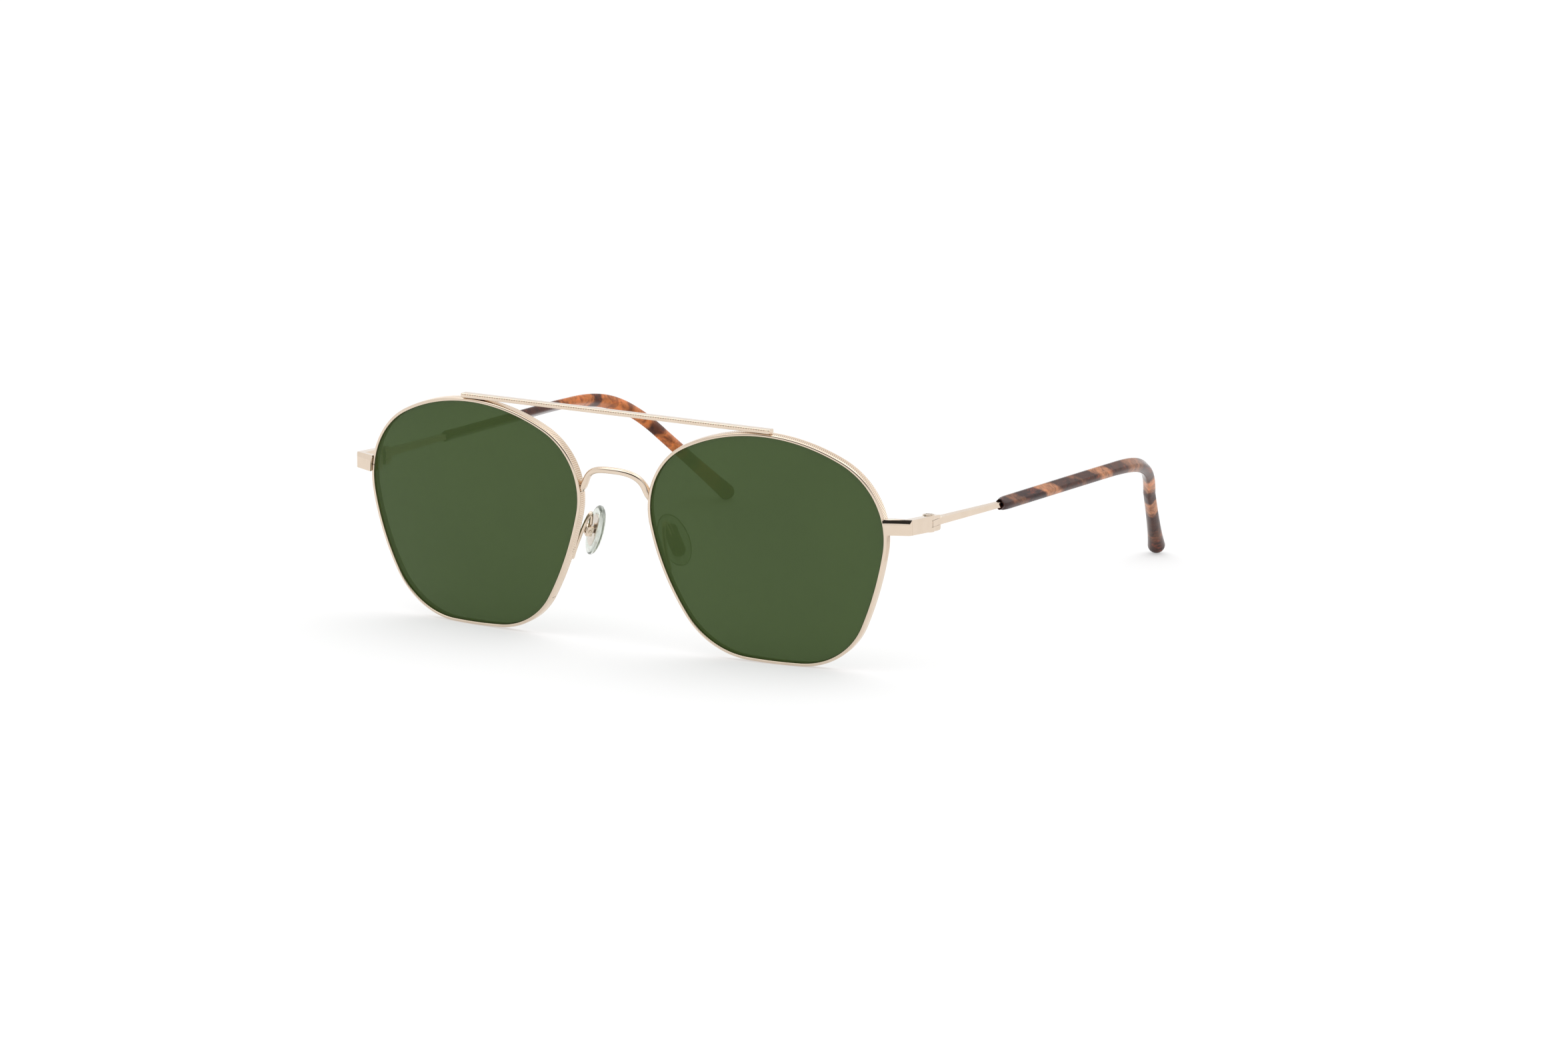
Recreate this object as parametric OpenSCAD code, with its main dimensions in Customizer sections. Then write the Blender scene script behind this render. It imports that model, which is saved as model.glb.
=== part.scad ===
// Wire-frame aviator sunglasses with a straight brow bar, adjustable nose pads
// and folding temples.  Millimetres, +Z up, front towards -Y, temples towards +Y.
// X = 0 is the mirror plane; left is the wearer's left, on +X.

/* [Lenses] */
// Distance from the mirror plane to the middle of each lens
lens_x = 35.5; // [35:0.1:36]
// Radius of the domed lens faces
base_r = 125; // [110:1:160]
// Thickness of a lens
lens_t = 1.8; // [1.7:0.1:1.9]
// Turn of each lens about the vertical, outer edge back
wrap = 5.2; // [4.5:0.1:6]
// Lean of the front, top forward
tilt = 4.7; // [4:0.1:5.5]

/* [Rims] */
// Radial thickness of the rim wire
rim_w = 0.72; // [0.68:0.02:0.8]
// Depth of the rim wire behind the front of the lens
rim_d = 1.7; // [1.6:0.05:1.8]

/* [Brow bar and bridge] */
// Half of the brow bar's length
bar_half = 37.3; // [36:0.1:38]
// Height of the brow bar at its ends
bar_h = 0.9; // [0.8:0.05:1.2]
// Depth of the brow bar from front to back
bar_d = 2.0; // [1.6:0.1:2.2]
// Height of the top of the bridge arch above the floor
bridge_top = 39.1; // [38:0.1:39.5]

/* [Temples] */
// Distance from the mirror plane to the hinge screw
hinge_x = 66.3; // [66.2:0.05:66.4]
// Distance of the hinge screw behind the middle of the lenses
hinge_y = 15.7; // [15.5:0.05:15.9]
// Thickness of the straight metal shank
shank_w = 1.5; // [1.3:0.05:1.6]
// Thickness of the plastic temple tip
tip_w = 2.65; // [2.6:0.05:2.8]

/* [Nose pads] */
// Length of a nose pad
pad_len = 11.6; // [11:0.1:12.4]
// Width of a nose pad
pad_wid = 6.4; // [6:0.1:7]

/* [Hidden] */
$fn = 48;

// The part is drawn with Y = 0 at the lens fronts, then moved so that its origin is
// on the floor below the middle of the whole object: back by origin_y, down by floor_z.
origin_y = 70.674;
floor_z = 0.2;
lens_z = 24.72;
gold = [0.87, 0.75, 0.62];
green = [0.30, 0.38, 0.24, 0.7];
clear_pad = [0.86, 0.88, 0.83];
tortoise = [0.32, 0.14, 0.08];
gap = 0.02;

module place() translate([0, -origin_y, -floor_z]) children();
module left() place() children();
module right() place() mirror([1, 0, 0]) children();
module both() { left() children(); right() children(); }

// ---- Lens outline: four corner arcs joined by four flatter side arcs ----
// Corner arcs [u, v, radius]: outer top, inner top, inner bottom, outer bottom
corner = [[9.3, 4.5, 17.3], [-11.1, 6.4, 15.4], [-4, -6.7, 17.1], [6.7, -8.3, 15.8]];
// Side arc radii: top, inner, bottom, outer
side_r = [38.5, 61, 148, 68];
corner_steps = 12;
side_steps = 6;
// Angle on the outer top corner arc where the rim wire is split, and half the slit
split_a = 8;
slit_a = 0.2;

function xy(c) = [c[0], c[1]];
function angle_of(p) = atan2(p[1], p[0]);
function side_centre(i) =
    let (a = corner[i], b = corner[(i + 1) % 4], ra = side_r[i] - a[2], rb = side_r[i] - b[2],
        d = xy(b) - xy(a), len = norm(d), u = d / len, t = (ra * ra - rb * rb + len * len) / (2 * len),
        h = sqrt(ra * ra - t * t))
    xy(a) + u * t + [-u[1], u[0]] * h;
function after(a, floor_a) = a < floor_a ? a + 360 : a;
function corner_start(i) = angle_of(xy(corner[i]) - side_centre((i + 3) % 4));
function corner_end(i) = after(angle_of(xy(corner[i]) - side_centre(i)), corner_start(i));
function arc(c, r, a0, a1, n) = [for (k = [0:n - 1]) let (a = a0 + (a1 - a0) * k / n)
    [c[0] + r * cos(a), c[1] + r * sin(a)]];
function side_arc(i, off) = let (a0 = corner_end(i))
    arc(side_centre(i), side_r[i] + off, a0, after(corner_start((i + 1) % 4), a0), side_steps);
function corner_arc(i, off) =
    arc(xy(corner[i]), corner[i][2] + off, corner_start(i), corner_end(i), corner_steps);
// Outline of the visible lens, grown by off, from the slit round to the slit
function outline(off) = concat(
    arc(xy(corner[0]), corner[0][2] + off, split_a + slit_a, corner_end(0), corner_steps),
    side_arc(0, off), corner_arc(1, off), side_arc(1, off), corner_arc(2, off),
    side_arc(2, off), corner_arc(3, off), side_arc(3, off),
    arc(xy(corner[0]), corner[0][2] + off, corner_start(0), split_a - slit_a, 2),
    [[corner[0][0] + (corner[0][2] + off) * cos(split_a - slit_a),
        corner[0][1] + (corner[0][2] + off) * sin(split_a - slit_a)]]);
// A point d behind the domed lens front, in the lens's own axes
function dome(p, d) = [p[0], (p[0] * p[0] + p[1] * p[1]) / (2 * base_r) + d, p[1]];

module on_lens() translate([lens_x, 0, lens_z]) rotate([tilt, 0, 0]) rotate([0, 0, wrap]) children();

// Closed skin over a list of rings with equal numbers of points; each end is a fan of
// triangles from the ring's first point
module skin(rings) {
    n = len(rings[0]);
    m = len(rings);
    points = [for (r = rings, p = r) p];
    walls = [for (i = [0:m - 2], j = [0:n - 1]) let (a = i * n + j, b = i * n + (j + 1) % n)
        each [[a, b, b + n], [a, b + n, a + n]]];
    last = (m - 1) * n;
    first_cap = [for (j = [1:n - 2]) [0, j + 1, j]];
    last_cap = [for (j = [1:n - 2]) [last, last + j, last + j + 1]];
    polyhedron(points, concat(walls, first_cap, last_cap));
}

// ---- Frames along a curved path, for swept wires ----
function unit(v) = v / norm(v);
function tangent(path, i) =
    unit(path[min(i + 1, len(path) - 1)] - path[max(i - 1, 0)]);
function bezier(a, b, c, d, n) = [for (k = [0:n]) let (t = k / n, s = 1 - t)
    a * s * s * s + b * 3 * s * s * t + c * 3 * s * t * t + d * t * t * t];
// Ring of a section (side, rise) carried to one point of a path; ref gives the side's plane
function ring(path, i, section, ref = [0, 0, 1]) =
    let (t = tangent(path, i), s = unit(cross(t, ref)), r = cross(s, t))
    [for (p = section) path[i] + s * p[0] + r * p[1]];
function oval(w, h, n) = [for (k = [0:n - 1]) let (a = 360 * (k + 0.5) / n)
    [w / 2 * cos(a), h / 2 * sin(a)]];
// Eight-sided section with flats, in the style of a hand-filed temple tip; lean shifts its top
function filed(w, h, lean = 0) = let (f = 0.22) [for (p = [[1, -f], [1, f], [f, 1], [-f, 1],
    [-1, f], [-1, -f], [-f, -1], [f, -1]]) [p[0] * w / 2 + lean * p[1] * h / 2, p[1] * h / 2]];

// ---- Lenses ----
bevel = 0.3;
bevel_d = 0.65;
module lens_body() {
    edge = -0.03;
    front = outline(edge);
    // [scale, growth, depth] of the rings from the middle of the front to the middle of the back
    steps = [[0.04, edge, 0], [0.35, edge, 0], [0.7, edge, 0], [1, edge, 0], [1, edge, 0.32],
        [1, bevel, bevel_d], [1, edge, 0.98], [1, edge, lens_t], [0.7, edge, lens_t],
        [0.35, edge, lens_t], [0.04, edge, lens_t]];
    on_lens() skin([for (s = steps) [for (p = outline(s[1])) dome(p * s[0], s[2])]]);
}
module lens_left() color(green) left() lens_body();
module lens_right() color(green) right() lens_body();

// ---- Rims: a grooved wire round each lens, split at the endpiece ----
module rim_body() {
    // Rim section as [growth, depth]: bottom of the V groove, back, outer side and lip
    section = [[0.36, bevel_d], [0, 1.03], [0, rim_d], [rim_w - 0.2, rim_d],
        [rim_w, rim_d - 0.15], [rim_w, -0.15], [rim_w - 0.2, -0.42], [0.2, -0.45], [0, -0.25],
        [0, 0.27]];
    lines = [for (s = section) outline(s[0])];
    on_lens() skin([for (i = [0:len(lines[0]) - 1])
        [for (k = [0:len(section) - 1]) dome(lines[k][i], section[k][1])]]);
}
module rim_left() color(gold) left() rim_body();
module rim_right() color(gold) right() rim_body();

// ---- Brow bar: a straight bar lying on top of both rims ----
bar_bottom = 49.98;
bar_front = -0.35;
module brow_bar() color(gold) left() intersection() {
    rotate([90, 0, 90]) linear_extrude(2 * bar_half, center = true)
        polygon([[bar_front, bar_bottom + 0.15], [bar_front, bar_bottom + bar_h - 0.3],
            [bar_front + 0.3, bar_bottom + bar_h], [bar_front + bar_d, bar_bottom + bar_h],
            [bar_front + bar_d, bar_bottom], [bar_front + 0.15, bar_bottom]]);
    translate([0, 5, 0]) rotate([90, 0, 0]) linear_extrude(10)
        polygon([[-bar_half, bar_bottom], [bar_half, bar_bottom],
            [bar_half, bar_bottom + bar_h - 0.35], [bar_half - 0.35, bar_bottom + bar_h],
            [0, bar_bottom + bar_h - 0.12],
            [0.35 - bar_half, bar_bottom + bar_h], [-bar_half, bar_bottom + bar_h - 0.35]]);
}

// ---- Bridge: an arched wire whose ends run down the inner sides of the rims ----
bridge_half = 7.3;
bridge_foot_z = 33.0;
bridge_wire = 1.45;
bridge_square = 0.7;
foot_flare = 0.4;
foot_wide = 0.5;
bridge_deep = 1.2;
foot_deep = 0.9;
function bridge_point(a) = let (c = cos(a), s = sin(a), x = pow(abs(c), bridge_square))
    [(bridge_half * x + foot_flare * pow(abs(c), 16)) * sign(c), -1 + 1.6 * pow(x, 3),
        bridge_foot_z + (bridge_top - bridge_wire / 2 - bridge_foot_z) * pow(s, bridge_square)];
module bridge() color(gold) left() {
    n = 28;
    path = [for (k = [0:n]) bridge_point(180 - 180 * k / n)];
    // The ends widen into feet, then thin out where they run into the rims
    skin([for (i = [0:n]) let (f = abs(1 - 2 * i / n))
        ring(path, i, oval(bridge_wire + foot_wide * pow(f, 4) - 1.1 * pow(f, 24),
            bridge_deep + foot_deep * pow(f, 8) - 1.2 * pow(f, 40), 8), [0, -1, 0])]);
}

// ---- Endpieces: a bent strip from the rim back to the hinge fork ----
strip_t = 1.65;
strip_out = hinge_x + 1.3;
strip_end = hinge_y + 2.9;
knuckle_r = 1.28;
pocket_r = 1.42;
fork_low = 30.8;
fork_high = 32.25;
fork_gap = 0.05;
bore_r = 0.62;
screw_r = 0.59;
head_r = 0.98;
head_z = 32.82;
// Depth of the rim's lip in the lens's axes where the strip crosses it
rim_front = 2.43;
module at_hinge(z) translate([hinge_x, hinge_y, z]) children();
// The front plate slants back from strip_start to the bend
slant = 27;
strip_start = [61.4, 3.44];
bend_x = strip_out - 0.3;
bend = [bend_x, strip_start[1] + (bend_x - strip_start[0]) * tan(slant)];
bend_r = 1;
// Plan of the strip: front plate, bend with a round outer corner, and side plate
module strip_plan() {
    back = [-sin(slant), cos(slant)] * strip_t;
    difference() {
        polygon([strip_start, bend, [strip_out, strip_end], [strip_out - strip_t, strip_end],
            [bend_x - strip_t, bend[1] + 0.9], strip_start + back]);
        translate(bend) rotate(slant / 2 - 45) difference() {
            translate([-1, -0.5]) square([2, 1]);
            translate([-bend_r / sin(45 + slant / 2), 0]) circle(r = bend_r);
            translate([-3, -1]) square([3 - 0.42, 2]);
        }
    }
}
// Side view of the strip: it falls gently towards the hinge and ends in two round lobes
strip_top = 34.25;
bend_top = 33.8;
lobe_r = 0.55;
module strip_side() polygon(concat([[0, 30.65], [7, 30.55], [strip_end - 1.6, 29.75]],
    arc([strip_end - lobe_r, 29.72 + lobe_r], lobe_r, -80, 0, 8),
    arc([strip_end - lobe_r, 32.95 - lobe_r], lobe_r, 0, 82, 8),
    [[7, bend_top], [0, strip_top]]));
// The front plate's upper half rolls back gently to a sharp top edge
roll_r = 2.6;
roll_z = 32.4;
module top_roll() translate([bend[0], bend[1], roll_z]) rotate([0, 0, slant]) difference() {
    translate([-12, -1, 0]) cube([13, 1 + strip_t, 4]);
    translate([-13, roll_r, 0]) rotate([0, 90, 0]) cylinder(r = roll_r, h = 15);
}
module endpiece_body() {
    difference() {
        union() {
            intersection() {
                translate([0, 0, 25]) linear_extrude(12) strip_plan();
                translate([75, 0, 0]) rotate([90, 0, -90]) mirror([1, 0, 0])
                    linear_extrude(20) strip_side();
            }
            at_hinge(29.75) cylinder(r = knuckle_r, h = 1.3);
            at_hinge(31.8) cylinder(r = knuckle_r, h = 1.5);
        }
        top_roll();
        // Fork slot: a round pocket at the screw, open to the back
        at_hinge(fork_low) cylinder(r = pocket_r, h = fork_high - fork_low);
        translate([hinge_x - 3, hinge_y, fork_low]) cube([6, 6, fork_high - fork_low]);
        // Inner end: follows the lens outline in front of the rim and steps back round the rim
        on_lens() rotate([90, 0, 0]) linear_extrude(20, center = true) polygon(outline(0.5));
        on_lens() translate([0, rim_front, 0]) rotate([-90, 0, 0]) mirror([0, 1, 0])
            linear_extrude(10) polygon(outline(rim_w + gap));
        // Screw bore and the seat for its head
        at_hinge(25) cylinder(r = bore_r, h = 12);
        at_hinge(head_z) cylinder(r = head_r + 0.04, h = 3);
    }
}
module endpiece_left() color(gold) left() endpiece_body();
module endpiece_right() color(gold) right() endpiece_body();

// ---- Closing blocks: two small blocks on the split rim, drawn together by a screw ----
block_x = 63.2;
block_y = 7.75;
block_screw_r = 0.4;
block_plan = [[62.1, 6.75], [63.3, 6.75], [64.3, 7.25], [64.3, 8.75], [62.1, 8.75]];
module block(z0, z1, bore) difference() {
    translate([0, 0, z0]) linear_extrude(z1 - z0) polygon(block_plan);
    translate([block_x, block_y, z0 - 1]) cylinder(r = bore, h = 5);
}
module closing_blocks_upper() color(gold) both() difference() {
    block(31.95, 33.3, block_screw_r + 0.03);
    translate([block_x, block_y, 33.0]) cylinder(r = 0.72, h = 1);
}
module closing_blocks_lower() color(gold) both() block(30.4, 31.85, block_screw_r + 0.03);
module slotted_screw(head, shank, head_h, len) difference() {
    union() {
        translate([0, 0, -len]) cylinder(r = shank, h = len + 0.01);
        cylinder(r = head, h = head_h);
    }
    translate([-head - 1, -0.12, head_h - 0.18]) cube([2 * head + 2, 0.24, 1]);
}
module closing_screws() color(gold) both() translate([block_x, block_y, 33.02])
    rotate(30) slotted_screw(0.68, block_screw_r, 0.34, 2.55);

// ---- Nose pad hardware, in axes turned with the pad ----
pad_at = [10.45, 7.35, 23.1];
pad_turn = [-8, -21, 39];
module on_pad() translate(pad_at) rotate(pad_turn) children();
box_w = 1.9;
box_h = 2.2;
box_back = -0.8;
box_front = 0.55;
lug_w = 0.9;
lug_gap = 0.06;
pin_r = 0.32;
lug_bore_r = 0.36;
// U-shaped box, open towards the nose, with a window in its front and a screw bore
module pad_box_body() on_pad() difference() {
    slot = lug_w + 2 * lug_gap;
    window = 1.4;
    translate([-box_w / 2, box_back, -box_h / 2]) cube([box_w, box_front - box_back, box_h]);
    translate([-slot / 2, box_back + 0.4, -box_h]) cube([slot, 2, 2 * box_h]);
    translate([-slot / 2, box_back - 1, -window / 2]) cube([slot, 2, window]);
    translate([-3, 0, 0]) rotate([0, 90, 0]) cylinder(r = pin_r + 0.01, h = 6);
}
module pad_box_left() color(gold) left() pad_box_body();
module pad_box_right() color(gold) right() pad_box_body();
module pad_screws() color(gold) both() on_pad()
    translate([box_w / 2 + gap, 0, 0]) rotate([0, 90, 0]) slotted_screw(0.55, pin_r, 0.3, box_w + 0.1);

// Metal core of the pad: a lug on the screw and an oval plate let into the pad
plate_y = 0.9;
plate_t = 0.45;
module pad_core_body() on_pad() difference() {
    union() {
        translate([-lug_w / 2, 0, -0.55]) cube([lug_w, plate_y + 0.1, 1.1]);
        rotate([0, 90, 0]) cylinder(r = 0.55, h = lug_w, center = true);
        translate([0, plate_y, 0]) rotate([-90, 0, 0]) linear_extrude(plate_t) hull() {
            translate([0, 2.2]) circle(r = 1.5);
            translate([0, -2.2]) circle(r = 1.5);
        }
    }
    rotate([0, 90, 0]) cylinder(r = lug_bore_r, h = 3, center = true);
}
module pad_core_left() color(gold) left() pad_core_body();
module pad_core_right() color(gold) right() pad_core_body();

// Soft pad: flat back with a recess for the plate, domed face towards the nose
module nose_pad_body() {
    a = pad_wid / 2;
    b = pad_len / 2;
    recess = [1.9, 4.2];
    // [half width, half length, depth] from the recess floor round to the face
    steps = [[recess[0], recess[1], plate_y + plate_t + gap], [recess[0], recess[1], plate_y],
        [0.84 * a, 0.9 * b, plate_y], [a, b, plate_y + 0.5], [0.97 * a, 0.98 * b, plate_y + 0.9],
        [0.78 * a, 0.83 * b, plate_y + 1.4], [0.4 * a, 0.45 * b, plate_y + 1.75]];
    on_pad() skin([for (s = steps) [for (p = oval(2 * s[0], 2 * s[1], 28)) [p[0], s[2], p[1]]]]);
}
module nose_pad_left() color(clear_pad) left() nose_pad_body();
module nose_pad_right() color(clear_pad) right() nose_pad_body();

// Pad arm: a springy wire from the back of the rim, over a loop and down to the box
arm_wire = 0.9;
arm_root = [11.95, 2.98, 17.6];
arm_top = [9.0, 5.5, 27.0];
arm_end = [10.0, 7.15, 24.2];
module pad_arm_body() {
    rise = bezier(arm_root, [10.5, 2.75, 21.5], [9.2, 4.3, 26.4], arm_top, 10);
    fall = bezier(arm_top, [9.1, 6.2, 27.35], [9.6, 6.95, 26.1], arm_end, 8);
    path = concat(rise, [for (k = [1:len(fall) - 1]) fall[k]]);
    skin([for (i = [0:len(path) - 1]) ring(path, i, oval(arm_wire, arm_wire, 10), [1, 0.3, 0])]);
}
module pad_arm_left() color(gold) left() pad_arm_body();
module pad_arm_right() color(gold) right() pad_arm_body();

// ---- Temples: hinge tongue, tapered shank and the core wire inside the tip ----
collar_y = 43.5;
collar = [67.9, collar_y, 30.5];
bend_start = [67.95, 87, 29.15];
bend_end = [61.0, 124.2, 17.5];
tip_end = [54.1, 141.0, 2.1];
core_r = 0.6;
curve = bezier(bend_start, [67.9, 105, 28.5], [66.4, 114.2, 27.9], bend_end, 14);
// The tongue's outer corner fills the fork slot and still turns inside its round pocket
tongue_y = hinge_y - 0.42;
module shank() {
    // Side view with a gentle taper, cut to the plan's width
    intersection() {
        translate([75, 0, 0]) rotate([90, 0, -90]) mirror([1, 0, 0]) linear_extrude(12)
            polygon([[tongue_y, fork_low + fork_gap], [hinge_y + 2, fork_low + fork_gap],
                [collar_y + 2, 29.88], [collar_y + 2, 30.98], [hinge_y + 3.2, fork_high + 0.12],
                [hinge_y + 2.95, fork_high - fork_gap], [tongue_y, fork_high - fork_gap]]);
        translate([0, 0, 25]) linear_extrude(12)
            polygon([[strip_out, tongue_y], [strip_out, hinge_y + 3], [68.5, collar_y + 2],
                [67.3, collar_y + 2], [strip_out - shank_w, hinge_y + 3],
                [strip_out - shank_w, hinge_y]]);
    }
}
module temple_body() {
    difference() {
        union() {
            shank();
            at_hinge(fork_low + fork_gap) cylinder(r = knuckle_r, h = fork_high - fork_low - 2 * fork_gap);
        }
        at_hinge(25) cylinder(r = bore_r, h = 12);
    }
    start = [collar[0], collar_y + 1.6, 30.41];
    path = concat([start], [for (p = curve) p]);
    skin([for (i = [0:len(path) - 1]) ring(path, i, oval(2 * core_r, 2 * core_r, 8))]);
}
module temple_left() color(gold) left() temple_body();
module temple_right() color(gold) right() temple_body();
module hinge_screws() color(gold) both() at_hinge(head_z + 0.01)
    rotate(-20) slotted_screw(head_r, screw_r, 0.55, 3.05);

// Plastic tip: a hollow start round the shank, filed flats, a bend and a bulb end
tip_lean = -0.46;
module tip_body() {
    straight = [for (k = [0:5]) collar + (bend_start - collar) * k / 6];
    drop = [for (k = [1:6]) bend_end + (tip_end - bend_end) * k / 6];
    axis_line = concat(straight, curve, drop);
    hollow = len(straight) + len(curve) - 1;
    bulb = unit(tip_end - bend_end);
    path = concat([collar, collar + [0, 0.9, -0.03], collar + [0, 3.2, -0.106]],
        [for (k = [1:len(axis_line) - 1]) axis_line[k]], [tip_end + bulb, tip_end + bulb * 1.82]);
    m = len(path) - 1;
    bent = 10;
    waist = 19;
    // Width, height and lean along the tip: blunt start, waist after the bend, swelling bulb
    function swell(i) = let (f = (i - waist) / (m - 2 - waist))
        i == 0 ? [2.3, 2.3, 0] : i == 1 ? [tip_w - 0.1, tip_w - 0.1, tip_lean / 2]
        : i <= bent ? [tip_w, tip_w, tip_lean]
        : i < waist ? let (g = (i - bent) / (waist - bent), full = 0.3 * sin(180 * g))
            [tip_w + full, tip_w + full + 0.2 * g, tip_lean * (1 - g)]
        : i < m - 1 ? [tip_w + 1.05 * f * f, tip_w + 0.2 + 0.65 * f * f, 0]
        : i < m ? [3.2, 3.0, 0] : [1.9, 1.8, 0];
    bore = [for (i = [hollow:-1:1]) ring(axis_line, i, filed(2 * core_r + 0.25, 2 * core_r + 0.25))];
    skin(concat(bore, [for (i = [1, 0]) ring(path, i, filed(2, 2))],
        [for (i = [0:m]) let (k = swell(i)) ring(path, i, filed(k[0], k[1], k[2]))]));
}
module temple_tip_left() color(tortoise) left() tip_body();
module temple_tip_right() color(tortoise) right() tip_body();

lens_left();
lens_right();
rim_left();
rim_right();
brow_bar();
bridge();
endpiece_left();
endpiece_right();
closing_blocks_upper();
closing_blocks_lower();
closing_screws();
pad_arm_left();
pad_arm_right();
pad_box_left();
pad_box_right();
pad_screws();
pad_core_left();
pad_core_right();
nose_pad_left();
nose_pad_right();
temple_left();
temple_right();
hinge_screws();
temple_tip_left();
temple_tip_right();
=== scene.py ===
"""Looks of the wire-frame sunglasses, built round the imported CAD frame.

Shapes are worked out in millimetres in the part's drawing axes: X = 0 is the mirror plane,
Y = 0 the fronts of the lenses and Z = 0 a little under the floor. place() turns a point of
those axes into the row frame, in metres, by the hinge screws' box. The wearer's left is +X.
"""
import math

import bmesh
import bpy
from mathutils import Matrix, Vector


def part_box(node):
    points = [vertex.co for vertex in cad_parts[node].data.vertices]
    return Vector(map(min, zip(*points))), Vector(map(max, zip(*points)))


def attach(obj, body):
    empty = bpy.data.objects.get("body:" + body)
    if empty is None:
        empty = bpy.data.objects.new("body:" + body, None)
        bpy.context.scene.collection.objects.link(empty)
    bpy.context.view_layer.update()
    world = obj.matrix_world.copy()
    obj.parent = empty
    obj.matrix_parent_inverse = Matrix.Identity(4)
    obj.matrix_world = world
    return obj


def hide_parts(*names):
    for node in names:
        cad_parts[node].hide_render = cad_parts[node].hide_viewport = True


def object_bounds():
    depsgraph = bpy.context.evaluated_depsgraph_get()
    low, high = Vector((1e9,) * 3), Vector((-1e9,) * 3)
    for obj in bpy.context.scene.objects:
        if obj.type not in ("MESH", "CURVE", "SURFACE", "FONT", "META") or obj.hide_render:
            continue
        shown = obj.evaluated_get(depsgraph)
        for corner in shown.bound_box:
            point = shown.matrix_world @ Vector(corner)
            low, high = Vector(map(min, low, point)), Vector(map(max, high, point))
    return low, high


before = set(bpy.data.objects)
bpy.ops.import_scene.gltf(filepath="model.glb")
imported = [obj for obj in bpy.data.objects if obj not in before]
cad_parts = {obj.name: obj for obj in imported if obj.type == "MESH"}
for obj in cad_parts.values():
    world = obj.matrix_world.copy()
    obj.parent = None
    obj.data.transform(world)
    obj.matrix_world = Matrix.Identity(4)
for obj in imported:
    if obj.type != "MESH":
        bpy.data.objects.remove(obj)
packed_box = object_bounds()

MM = 0.001
LEFT, RIGHT = 1, -1
SIDES = (("left", LEFT), ("right", RIGHT))
# How densely the points lie round each lens, as a share of the full count
DENSITY = 1.0

# Where the hinge screws' middle and top are in the drawing axes
HINGE_Y, HINGE_TOP = 15.7, 33.38
screw_low, screw_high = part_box("hinge_screws")
SHIFT_Y = (screw_low.y + screw_high.y) / 2 - HINGE_Y * MM
SHIFT_Z = screw_high.z - HINGE_TOP * MM


def place(p, side=LEFT):
    """A point of the drawing axes as a point of the row frame, mirrored on the right."""
    return Vector((p[0] * MM * side, p[1] * MM + SHIFT_Y, p[2] * MM + SHIFT_Z))


# ---------------------------------------------------------------- mesh helpers

def smoothstep(a, b, x):
    t = min(max((x - a) / (b - a), 0.0), 1.0)
    return t * t * (3 - 2 * t)


def lerp(a, b, t):
    return a + (b - a) * t


def bezier(a, b, c, d, t):
    s = 1 - t
    return a * s ** 3 + b * (3 * s * s * t) + c * (3 * s * t * t) + d * t ** 3


def catmull(points, per_span):
    """A smooth line through tuples of numbers, with per_span steps between two of them."""
    vs = [Vector(p) for p in points]
    out = []
    for i in range(len(vs) - 1):
        p0, p1, p2, p3 = vs[max(i - 1, 0)], vs[i], vs[i + 1], vs[min(i + 2, len(vs) - 1)]
        for k in range(per_span):
            t = k / per_span
            out.append(0.5 * (2 * p1 + (p2 - p0) * t + (2 * p0 - 5 * p1 + 4 * p2 - p3) * t * t
                              + (3 * p1 - p0 - 3 * p2 + p3) * t ** 3))
    out.append(vs[-1])
    return out


def rounded_polygon(corners, radius, steps=4):
    """A closed outline with its corners rounded; radius is one number or one per corner."""
    out, n = [], len(corners)
    for i, corner in enumerate(corners):
        r = radius[i] if isinstance(radius, (list, tuple)) else radius
        here = Vector(corner)
        before, after = Vector(corners[i - 1]) - here, Vector(corners[(i + 1) % n]) - here
        a = here + before.normalized() * min(r, before.length * 0.48)
        b = here + after.normalized() * min(r, after.length * 0.48)
        for k in range(steps + 1):
            t = k / steps
            out.append(a * (1 - t) ** 2 + here * (2 * t * (1 - t)) + b * t * t)
    return out


def tangents(path):
    last = len(path) - 1
    return [(path[min(i + 1, last)] - path[max(i - 1, 0)]).normalized() for i in range(last + 1)]


def sweep(path, section_of, ref=Vector((0, 0, 1))):
    """Rings of a section carried along a path; section_of(i) gives points (side, rise)."""
    rings = []
    for i, (at, t) in enumerate(zip(path, tangents(path))):
        side = t.cross(ref).normalized()
        rise = side.cross(t)
        rings.append([at + side * p[0] + rise * p[1] for p in section_of(i)])
    return rings


def circle(radius, n):
    return [(radius * math.cos(math.tau * k / n), radius * math.sin(math.tau * k / n))
            for k in range(n)]


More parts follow.
